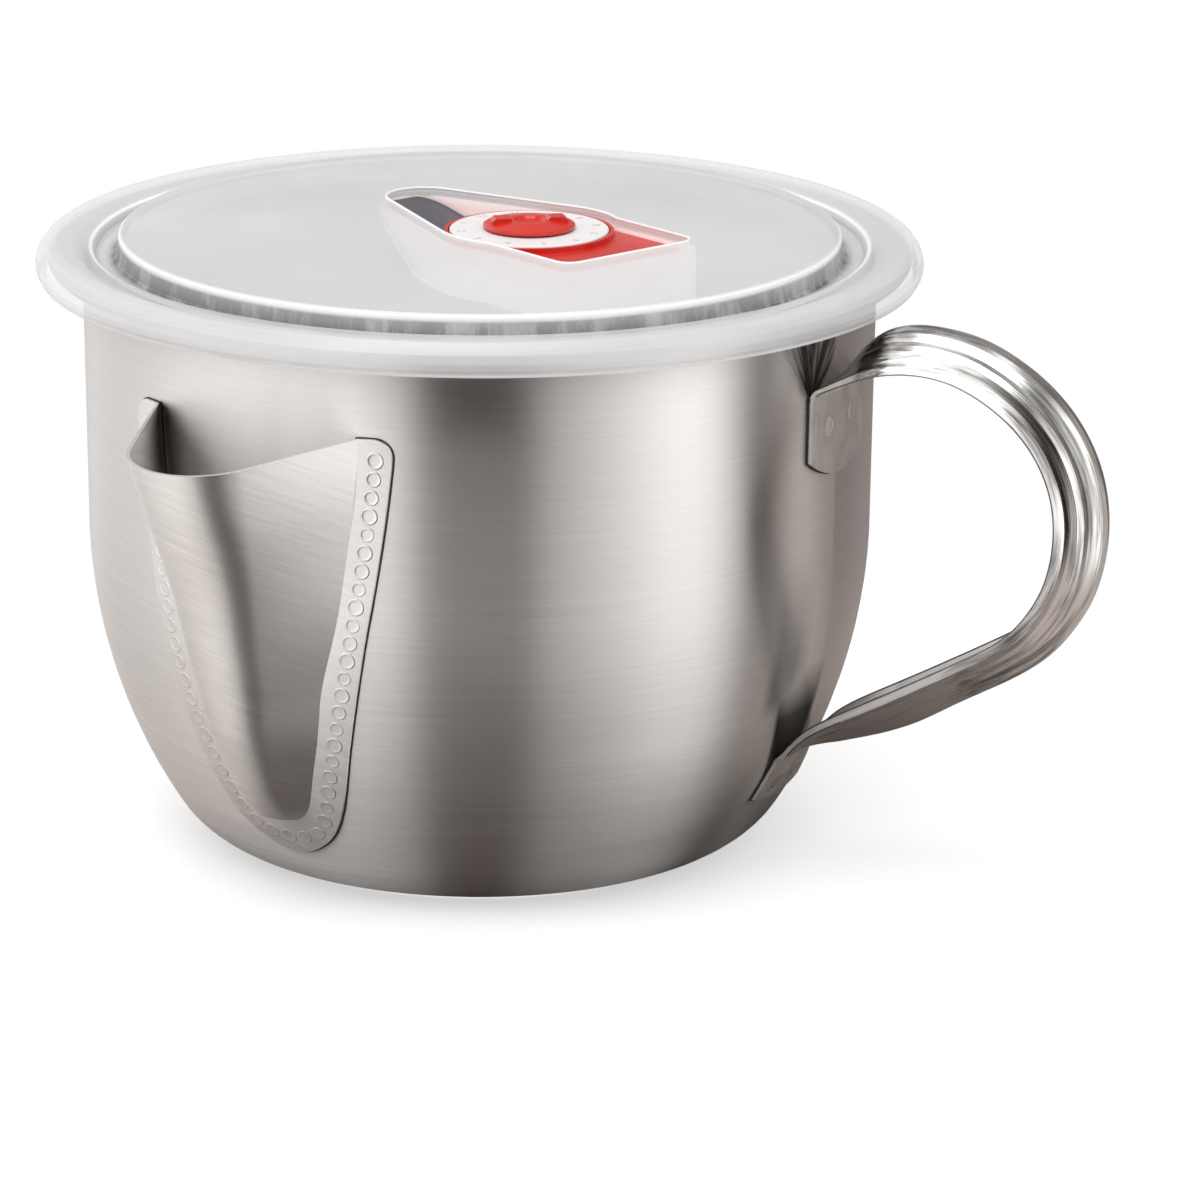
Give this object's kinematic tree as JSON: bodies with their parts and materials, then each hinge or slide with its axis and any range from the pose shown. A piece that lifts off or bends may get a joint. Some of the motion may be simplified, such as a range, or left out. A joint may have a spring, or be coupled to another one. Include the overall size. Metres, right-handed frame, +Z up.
{
  "type": "bacon grease container",
  "caption": "Round-bottomed steel grease pot with a rolled rim, welded side spout, ribbed channel handle and translucent press-on lid with date dial and vent knob.",
  "frame": {"origin": "centre of the flat base, on the surface it stands on", "axes": "+Z up along the pot's axis, +X towards the handle, the spout close to -Y"},
  "size_m": [0.1977, 0.1715, 0.1104],
  "materials": {
    "pot_steel": "satin, brushed round the pot",
    "spout_steel": "satin",
    "weld_steel": "spot weld marks",
    "handle_steel": "polished",
    "lid_plastic": "milky translucent polyethylene",
    "red_plastic": "gloss",
    "white_plastic": "satin",
    "silicone": "soft silicone"
  },
  "bodies": {
    "pot": {"pot_body": "pot_steel", "spout": "spout_steel", "spout_welds": "weld_steel", "handle": "handle_steel", "handle_welds": "weld_steel"},
    "cover": {"lid": "lid_plastic", "valve_plate": "red_plastic"},
    "dial": {"date_dial": "white_plastic"},
    "vent": {"vent_knob": "red_plastic", "vent_seal": "silicone"}
  },
  "joints": [
    {"name": "lid_lift", "type": "slide", "parent": "pot", "child": "cover", "axis": [0, 0, 1], "range_m": [0, 0.12]},
    {"name": "dial_turn", "type": "hinge", "parent": "cover", "child": "dial", "pos_m": [0.0062, 0.00655, 0.1078], "axis": [0, 0, 1], "continuous": true},
    {"name": "vent_lift", "type": "slide", "parent": "cover", "child": "vent", "axis": [0, 0, 1], "range_m": [0, 0.003]}
  ]
}
